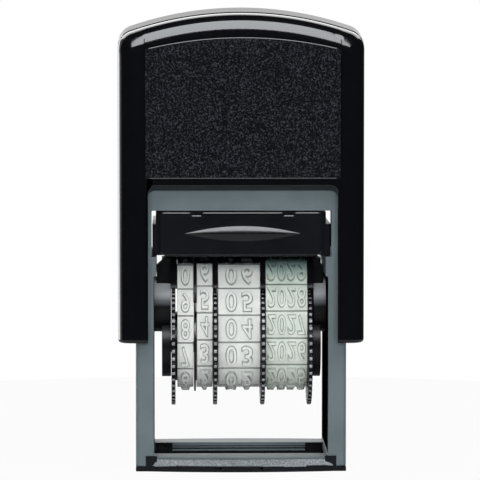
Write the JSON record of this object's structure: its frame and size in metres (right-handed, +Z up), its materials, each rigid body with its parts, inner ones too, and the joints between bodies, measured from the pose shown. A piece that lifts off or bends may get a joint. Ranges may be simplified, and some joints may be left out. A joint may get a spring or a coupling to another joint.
{
  "type": "date stamp",
  "caption": "Self-inking date stamp: a sprung cap presses down over a stand, and its print unit with setting wheels and type bands turns over from the ink pad to the paper.",
  "frame": {"origin": "on the ground under the middle of the stamp", "axes": "+Z up, the front with the finger recess faces -Y, +X to the right seen from the front"},
  "size_m": [0.0476, 0.0344, 0.0898],
  "materials": {
    "stand_gray": "satin moulded gray plastic",
    "part_black": "satin moulded black plastic, finely textured on the base's lip",
    "cap_black": "glossy black plastic with a finely grained front panel",
    "pad_felt": "inked felt",
    "type_rubber": "pale moulded rubber",
    "year_rubber": "pale moulded rubber with a slight green tint",
    "spring_steel": "drawn steel wire"
  },
  "bodies": {
    "stand": {"inner_frame": "stand_gray", "base_ring": "part_black", "cam_plate_left": "part_black", "cam_plate_right": "part_black", "ink_cartridge": "part_black", "ink_pad": "pad_felt", "return_spring": "spring_steel"},
    "cap": {"cap_shell": "cap_black", "pivot_pin_left": "part_black", "pivot_pin_right": "part_black"},
    "print_unit": {"unit_side_left": "part_black", "unit_side_right": "part_black", "print_bridge": "part_black", "wheel_axle": "spring_steel", "date_band_1": "type_rubber", "date_band_2": "type_rubber", "date_band_3": "type_rubber", "date_band_4": "year_rubber"},
    "wheel_1": {"setting_wheel_1": "part_black"},
    "wheel_2": {"setting_wheel_2": "part_black"},
    "wheel_3": {"setting_wheel_3": "part_black"},
    "wheel_4": {"setting_wheel_4": "part_black"}
  },
  "joints": [
    {"name": "cap_press", "type": "slide", "parent": "stand", "child": "cap", "axis": [0, 0, -1], "range_m": [0, 0.0216], "stiffness_N_per_m": 250, "springref_m": -0.012, "deforming": ["return_spring"]},
    {"name": "unit_turn", "type": "hinge", "parent": "cap", "child": "print_unit", "pos_m": [0, 0, 0.03136], "axis": [1, 0, 0], "range_deg": [0, 180]},
    {"name": "wheel_1_turn", "type": "hinge", "parent": "print_unit", "child": "wheel_1", "pos_m": [0, 0, 0.023], "axis": [1, 0, 0], "continuous": true},
    {"name": "wheel_2_turn", "type": "hinge", "parent": "print_unit", "child": "wheel_2", "pos_m": [0, 0, 0.023], "axis": [1, 0, 0], "continuous": true},
    {"name": "wheel_3_turn", "type": "hinge", "parent": "print_unit", "child": "wheel_3", "pos_m": [0, 0, 0.023], "axis": [1, 0, 0], "continuous": true},
    {"name": "wheel_4_turn", "type": "hinge", "parent": "print_unit", "child": "wheel_4", "pos_m": [0, 0, 0.023], "axis": [1, 0, 0], "continuous": true}
  ],
  "couplings": [
    {"joint": "unit_turn", "follows": "cap_press", "rad_per_m": 145.44}
  ]
}
